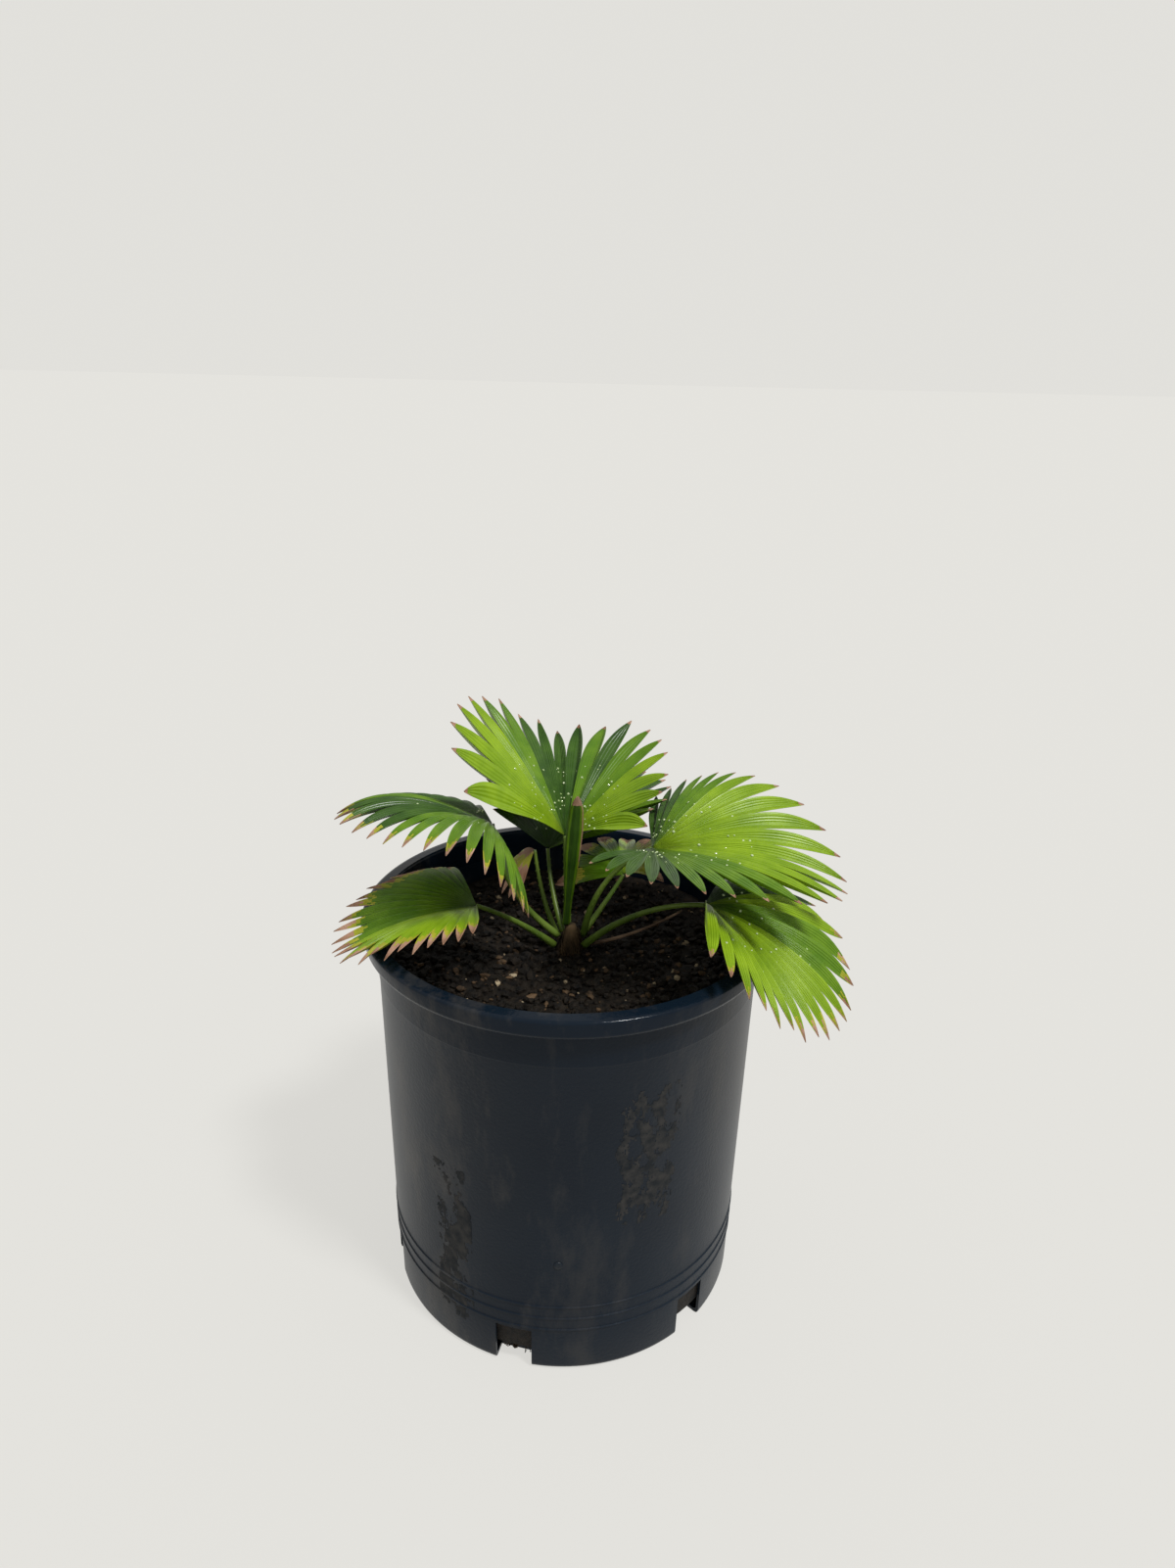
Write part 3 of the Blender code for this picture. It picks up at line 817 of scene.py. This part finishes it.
def pick_paint(leaf, seed, i, share, side):
    """Which tone a face takes: dry at the tip, yellow beside it, else its segment's green, partly painted
    light and shade.
    """
    ragged = 0.03 * math.sin(seed + i * 5.3 + side * 2.1) + 0.02 * math.sin(share * 90.0 + side * 9.0)
    dry = leaf["tips"] * (0.55 + 0.75 * abs(jitter(seed + 3, i)))
    drying = leaf["tips"] > JUST_DRY_TIPS
    if share > 1.0 - dry - ragged * drying:
        return PAINT_ORDER.index("dry")
    if drying and share > 1.0 - YELLOW_REACH * dry - YELLOW_BAND - ragged:
        return PAINT_ORDER.index("yellow")
    tones = leaf["tones"]
    place = (i + 0.5) / leaf["segments"] * len(tones) + TONE_MIX * jitter(seed + 7, i)
    return PAINT_ORDER.index(tones[min(len(tones) - 1, max(0, int(place)))])


# %% [markdown]
# ## One segment, and the whole blade
#
# Across a segment, a point's place runs from -1 at one edge through 0 at the
# rib to 1 at the other edge. The pleat lifts the edges and sinks the rib, and
# the taper pulls both edges towards the rib beyond the split.

# %% Segments and blades
def segment_points(leaf, seed, i, field, splits):
    """Rows of points across segment i, in metres, from the hub to the tip."""
    points, normal, height, rows, reach = field
    middle = 2 * i + 1
    droop = jitter(seed, i) * DROOP_SHARE * reach[middle]
    grid = []
    for row, share in enumerate(rows[middle]):
        spine = points[middle, row]
        hang = max(0.0, (share - leaf["fused"]) / (1.0 - leaf["fused"])) ** 2
        line = []
        for across in np.linspace(-1.0, 1.0, ACROSS + 1):
            out = abs(across)
            edge, split = (middle + 1, splits[i + 1]) if across > 0 else (middle - 1, splits[i])
            free = max(0.0, (share - split) / (1.0 - split))
            width = 1.0 - (1.0 - TIP_WIDTH) * free ** TAPER_POWER
            place = spine + (points[edge, row] - spine) * out * width
            lean = normal[middle, row] * (1.0 - out) + normal[edge, row] * out
            lift = lean * height[edge, row] * width * (2.0 * out - 1.0)
            line.append((place + lift - np.array([0.0, 0.0, droop * hang])) * MM)
        grid.append(line)
    return grid


def make_blade(name, leaf, seed, slot_name):
    field = blade_field(leaf)
    shares = field[3]
    splits = [leaf["fused"] + SPLIT_SPREAD * jitter(seed + 1, j) for j in range(leaf["segments"] + 1)]
    form = bmesh.new()
    leaf_map = form.loops.layers.uv.new("leaf_map")
    for i in range(leaf["segments"]):
        lines = segment_points(leaf, seed, i, field, splits)
        grid = [[form.verts.new(point) for point in line] for line in lines]
        for row in range(ALONG):
            share = float(shares[2 * i + 1, row + 1])
            for col in range(ACROSS):
                marks = ((col, row + 1), (col + 1, row + 1), (col + 1, row), (col, row))
                face = form.faces.new([grid[r][c] for c, r in marks])
                face.material_index = pick_paint(leaf, seed, i, share, 2.0 * (col + 0.5) / ACROSS - 1.0)
                for loop, (c, r) in zip(face.loops, marks):
                    loop[leaf_map].uv = (i + c / ACROSS, r / ALONG)
    bmesh.ops.remove_doubles(form, verts=form.verts, dist=WELD_BLADE)
    piece = add_piece(to_mesh(form, name), list(leaf_paints.values()), slot_name, "blade_" + name)
    solid = piece.modifiers.new("thickness", "SOLIDIFY")
    solid.thickness = LEAF_THICKNESS
    solid.offset = 0.0
    return piece


for seed, (name, leaf) in enumerate(LEAVES.items(), 1):
    piece = make_blade(name, leaf, seed, "dry" if name == "withered" else "leaf")
    print("blade", name, len(piece.data.polygons), "faces")

# %% [markdown]
# ## Water drops
#
# The plant has just been watered, so beads of water stand on the blades. Each
# bead is a flattened icosphere that sits halfway up the slope of a pleat. They
# are opaque and very glossy, and their pale colour is a painted highlight for
# the light that clear water catches, so that such small beads show at all.

# %% Water drops
DROPS = {"centre": 110, "right": 70, "front_right": 45, "back": 20, "left": 25}
DROP_SMALL = 0.0005
DROP_LARGE = 0.0011
DROP_FLATNESS = 0.8
DROP_FIRST_ROW = 5
# The beads' pale colour is a painted highlight, the glint of light on clear water.
water_bead_painted_glint = mottled("water_bead_painted_glint", (0.22, 0.32, 0.10), (0.50, 0.56, 0.36), 300.0, 0.06, 500.0, 0.00001,
                     specular=0.9)


def make_drops():
    chance = random.Random(31)
    form = bmesh.new()
    for name, count in DROPS.items():
        leaf = LEAVES[name]
        points, normal = blade_field(leaf)[:2]
        for _ in range(count):
            middle = 2 * chance.randrange(leaf["segments"]) + 1
            row = chance.randrange(DROP_FIRST_ROW, int(ALONG * leaf["fused"]))
            edge = middle + chance.choice((-1, 1))
            spot = Vector((points[middle, row] + points[edge, row]) * 0.5 * MM)
            turn = Vector(normal[middle, row]).to_track_quat("Z", "Y").to_matrix()
            size = chance.uniform(DROP_SMALL, DROP_LARGE)
            made = bmesh.ops.create_icosphere(form, subdivisions=2, radius=size)["verts"]
            for vert in made:
                vert.co.z *= DROP_FLATNESS
                vert.co = turn @ vert.co + spot
    return add_piece(to_mesh(form, "water_beads"), [water_bead_painted_glint], "leaf")


drops = make_drops()
print("water beads", sum(DROPS.values()), "with", len(drops.data.vertices), "points")

# %% [markdown]
# ## Stalks
#
# A petiole is a tapering stalk from the crown to the hub. Rings of points along
# a gentle arc make it, with more rings than the solid has so that the arc is
# smooth. A curve with a bevel would do as well, but its taper is harder to set.
# Both sides of the real stalk carry small hooked teeth. Here they are plain
# cones that lean to the foot.

# %% Petioles
STALK_RINGS = 40
STALK_FLARE = 1.15
STALK_TAPER = 1.6
TOOTH_SPACING = 0.0042
TOOTH_LENGTH = 0.0013
TOOTH_BASE = 0.00045
TOOTH_TIP = 0.00005
TOOTH_LEAN = 0.5


def bowed(foot, tip, bow, count):
    """Points of an arc from foot to tip that bows out by bow at mid length."""
    share = np.linspace(0.0, 1.0, count)[:, None]
    straight = np.array(foot, float) + (np.array(tip, float) - np.array(foot, float)) * share
    return straight + 4.0 * share * (1.0 - share) * np.array(bow, float)


def add_tube(form, points, radii, sides):
    """Adds a closed tube round a line of points, in metres."""
    rings = []
    for k, (point, radius) in enumerate(zip(points, radii)):
        ahead = points[min(k + 1, len(points) - 1)] - points[max(k - 1, 0)]
        turn = Vector(ahead).to_track_quat("Z", "Y").to_matrix()
        spots = [Vector((*on_circle(radius, j, sides), 0.0)) for j in range(sides)]
        rings.append([form.verts.new(Vector(point) + turn @ spot) for spot in spots])
    for low, high in zip(rings, rings[1:]):
        for j in range(sides):
            beside = (j + 1) % sides
            form.faces.new((low[j], low[beside], high[beside], high[j]))
    form.faces.new(rings[0][::-1])
    form.faces.new(rings[-1])


def add_teeth(form, points, radii):
    """Adds small cones along both sides of a stalk, leaning towards its foot."""
    travelled = 0.0
    for k in range(2, len(points) - 3):
        ahead = Vector(points[k + 1]) - Vector(points[k])
        travelled += ahead.length
        if travelled < TOOTH_SPACING:
            continue
        travelled = 0.0
        side = ahead.cross(Vector((0.0, 0.0, 1.0))).normalized()
        for hand in (-1.0, 1.0):
            aim = (side * hand - ahead.normalized() * TOOTH_LEAN).normalized()
            made = bmesh.ops.create_cone(form, cap_ends=True, segments=5, radius1=TOOTH_BASE,
                                         radius2=TOOTH_TIP, depth=TOOTH_LENGTH)["verts"]
            turn = aim.to_track_quat("Z", "Y").to_matrix()
            place = Vector(points[k]) + side * hand * (radii[k] + TOOTH_LENGTH * 0.25)
            for vert in made:
                vert.co = turn @ vert.co + place


def make_petiole(name, leaf):
    points = bowed(leaf["foot"], leaf["hub"], leaf["bow"], STALK_RINGS) * MM
    base, top = leaf["stalk"]
    share = np.linspace(0.0, 1.0, STALK_RINGS)
    radii = (top + (base * STALK_FLARE - top) * (1.0 - share) ** STALK_TAPER) * MM
    form = bmesh.new()
    add_tube(form, points, radii, 12)
    add_teeth(form, points, radii)
    return add_piece(to_mesh(form, "stalk_" + name), [stalk_green], "stalk", "petiole_" + name)


for name, leaf in LEAVES.items():
    piece = make_petiole(name, leaf)
    print("stalk", name, len(piece.data.vertices), "points")

# %% [markdown]
# ## The dry stalk
#
# One old stalk has lost its blade and dried to a thin brown rod. It is the same
# tube, thinner, in the dry finish.

# %% Dry stalk
DRY_FOOT, DRY_TIP, DRY_BOW = (13, 3.5, 254.0), (76, -12, 290), (0, 0, -4)
DRY_RINGS = 30
DRY_RADII = (0.0015, 0.0008)


def make_dry_stalk():
    form = bmesh.new()
    points = bowed(DRY_FOOT, DRY_TIP, DRY_BOW, DRY_RINGS) * MM
    add_tube(form, points, np.linspace(*DRY_RADII, DRY_RINGS), 8)
    return add_piece(to_mesh(form, "dry_stalk_skin"), [stalk_dry], "dry", "dry_stalk")


dry_stalk = make_dry_stalk()
print("dry stalk", len(dry_stalk.data.vertices), "points")

# %% [markdown]
# ## The spear
#
# The youngest leaf is still folded shut like a fan: a narrow, slightly flat
# spindle with folds along its length, darkest down its middle, and dry at one
# edge and at its tip. A lofted tube whose section is a flat oval with ripples
# makes it.

# %% Spear
SPEAR_FOOT = Vector((-0.002, 0.002, 0.270))
SPEAR_TIP = Vector((0.0046, 0.0, 0.367))
SPEAR_HALF_WIDTH = 0.0053
SPEAR_FLATNESS = 0.5
SPEAR_SHARES = (0.0, 0.2, 0.36, 0.55, 0.75, 0.9, 0.97, 1.0)
SPEAR_WIDTHS = (0.50, 0.52, 0.70, 0.95, 1.0, 0.80, 0.42, 0.06)
SPEAR_ROWS = 60
SPEAR_SIDES = 48
FOLD_COUNT = 7
FOLD_DEPTH = 0.10


def spear_tone(share, right):
    """The tone of a face at a share of the length, right running from -1 to 1 across."""
    if share > 0.93 or (share > 0.5 and right > 0.93):
        return "dry"
    if share > 0.45 and right > 0.8:
        return "yellow"
    return "deep" if abs(right) < 0.62 else "green"


def make_spear():
    form = bmesh.new()
    leaf_map = form.loops.layers.uv.new("leaf_map")
    rings = []
    for share in np.linspace(0.0, 1.0, SPEAR_ROWS + 1):
        width = np.interp(share, SPEAR_SHARES, SPEAR_WIDTHS) * SPEAR_HALF_WIDTH
        centre = SPEAR_FOOT.lerp(SPEAR_TIP, share)
        ring = []
        depth = FOLD_DEPTH * min(1.0, share * 3.0)
        for j in range(SPEAR_SIDES):
            fold = 1.0 + depth * math.sin(math.tau * j / SPEAR_SIDES * FOLD_COUNT)
            x, y = on_circle(width * fold, j, SPEAR_SIDES)
            ring.append(form.verts.new(centre + Vector((x, y * SPEAR_FLATNESS, 0.0))))
        rings.append(ring)
    for k in range(SPEAR_ROWS):
        for j in range(SPEAR_SIDES):
            beside = (j + 1) % SPEAR_SIDES
            face = form.faces.new((rings[k][j], rings[k][beside], rings[k + 1][beside], rings[k + 1][j]))
            tone = spear_tone((k + 0.5) / SPEAR_ROWS, on_circle(1.0, j + 0.5, SPEAR_SIDES)[0])
            face.material_index = PAINT_ORDER.index(tone)
            for loop, (c, r) in zip(face.loops, ((j, k), (j + 1, k), (j + 1, k + 1), (j, k + 1))):
                loop[leaf_map].uv = (c / 6.0, r / SPEAR_ROWS)
    form.faces.new(rings[0][::-1])
    form.faces.new(rings[-1])
    return add_piece(to_mesh(form, "young_spear"), list(leaf_paints.values()), "leaf", "spear")


spear = make_spear()
print("spear faces", len(spear.data.polygons))

# %% [markdown]
# ## The crown
#
# The stalks rise from a short stem wrapped in the brown fibres of old leaf
# bases. The stem is a small turned shape, and the fibres are thin tubes that
# run up and round it.

# %% Crown
CROWN_AT = Vector((0.0015, 0.004, 0.0))
CROWN_RADIUS = 0.0085
CROWN_HEIGHT = 0.019
CROWN_SHAPE = ((1.0, 0.001), (0.86, 0.004), (0.70, 0.009), (0.50, 0.016), (0.36, CROWN_HEIGHT))
FIBRES = 70
FIBRE_POINTS = 6
FIBRE_LONGEST = 0.017
crown_brown = mottled("crown_brown", (0.008, 0.006, 0.004), (0.070, 0.045, 0.022), 160.0, 0.85, 700.0, 0.0004,
                      specular=0.12, stretch=(1.0, 1.0, 0.2))


def make_crown():
    low = SOIL_TOP - 0.004
    profile = [(0.0, low), (CROWN_RADIUS, low)]
    profile += [(CROWN_RADIUS * width, SOIL_TOP + rise) for width, rise in CROWN_SHAPE]
    profile.append((0.0, SOIL_TOP + CROWN_HEIGHT))
    mesh = turned("crown_stem", profile, 40)
    mesh.transform(Matrix.Translation(CROWN_AT))
    return add_piece(mesh, [crown_brown], "crown", "crown")


def make_fibres():
    chance = random.Random(5)
    form = bmesh.new()
    for _ in range(FIBRES):
        turn = chance.uniform(0.0, 6.28)
        rise = chance.uniform(0.006, FIBRE_LONGEST)
        drift = chance.uniform(-0.8, 0.8)
        points = []
        for share in np.linspace(0.0, 1.0, FIBRE_POINTS):
            out = CROWN_RADIUS * (1.15 - 0.62 * share * rise / FIBRE_LONGEST) + chance.uniform(0.0, 0.0008)
            spot = Vector((out * math.cos(turn + drift * share), out * math.sin(turn + drift * share),
                           SOIL_TOP - 0.001 + rise * share))
            points.append(np.array(CROWN_AT + spot))
        add_tube(form, points, np.linspace(0.0005, 0.0002, FIBRE_POINTS), 5)
    return add_piece(to_mesh(form, "crown_fibres"), [crown_brown], "crown")


crown = make_crown()
fibres = make_fibres()
print("crown", len(crown.data.vertices), "points, fibres", len(fibres.data.vertices), "points")

# %% [markdown]
# ## Roots and crumbs at the drain openings
#
# Fine roots and a little soil show in the square openings. Each root is a thin
# tube that wanders across its opening, and small crumbs lie round it.

# %% Roots at the openings
DRAIN_ROOTS = 26
DRAIN_CRUMBS = 60
ROOT_POINTS = 7
ROOT_OUT = 0.006
ROOT_DRIFT = 0.004


def make_drain_roots():
    chance = random.Random(21)
    roots, crumbs = bmesh.new(), bmesh.new()
    for i in range(DRAIN_COUNT):
        heading = DRAIN_HEADING + i * math.tau / DRAIN_COUNT
        out = Vector((math.cos(heading), math.sin(heading), 0.0))
        side = Vector((-out.y, out.x, 0.0))
        up = Vector((0.0, 0.0, 1.0))
        inner = BASE_RADIUS - DRAIN_DEPTH + 0.0005
        for _ in range(DRAIN_ROOTS):
            spot = side * chance.uniform(-0.010, 0.010) + up * chance.uniform(0.004, 0.027)
            drift = side * chance.uniform(-ROOT_DRIFT, ROOT_DRIFT)
            drift += up * chance.uniform(-ROOT_DRIFT, ROOT_DRIFT)
            points = []
            for share in np.linspace(0.0, 1.0, ROOT_POINTS):
                depth = inner + 0.0005 + ROOT_OUT * math.sin(share * math.pi) * chance.uniform(0.5, 1.0)
                points.append(np.array(out * depth + spot + drift * (2.0 * share - 1.0)))
            add_tube(roots, points, np.linspace(0.00035, 0.0002, ROOT_POINTS), 5)
        for _ in range(DRAIN_CRUMBS):
            size = chance.uniform(0.0006, 0.0020)
            spot = out * (inner + chance.uniform(0.0, 0.003)) + side * chance.uniform(-0.0105, 0.0105)
            spot.z = chance.uniform(0.0028, 0.029)
            made = bmesh.ops.create_icosphere(crumbs, subdivisions=1, radius=size)["verts"]
            for vert in made:
                vert.co = vert.co * chance.uniform(0.7, 1.2) + spot
    return [add_piece(to_mesh(roots, "drain_roots"), [grit_brown], "soil"),
            add_piece(to_mesh(crumbs, "drain_crumbs", smooth=False), [soil_dark], "soil")]


for piece in make_drain_roots():
    print(piece.name, len(piece.data.vertices), "points")
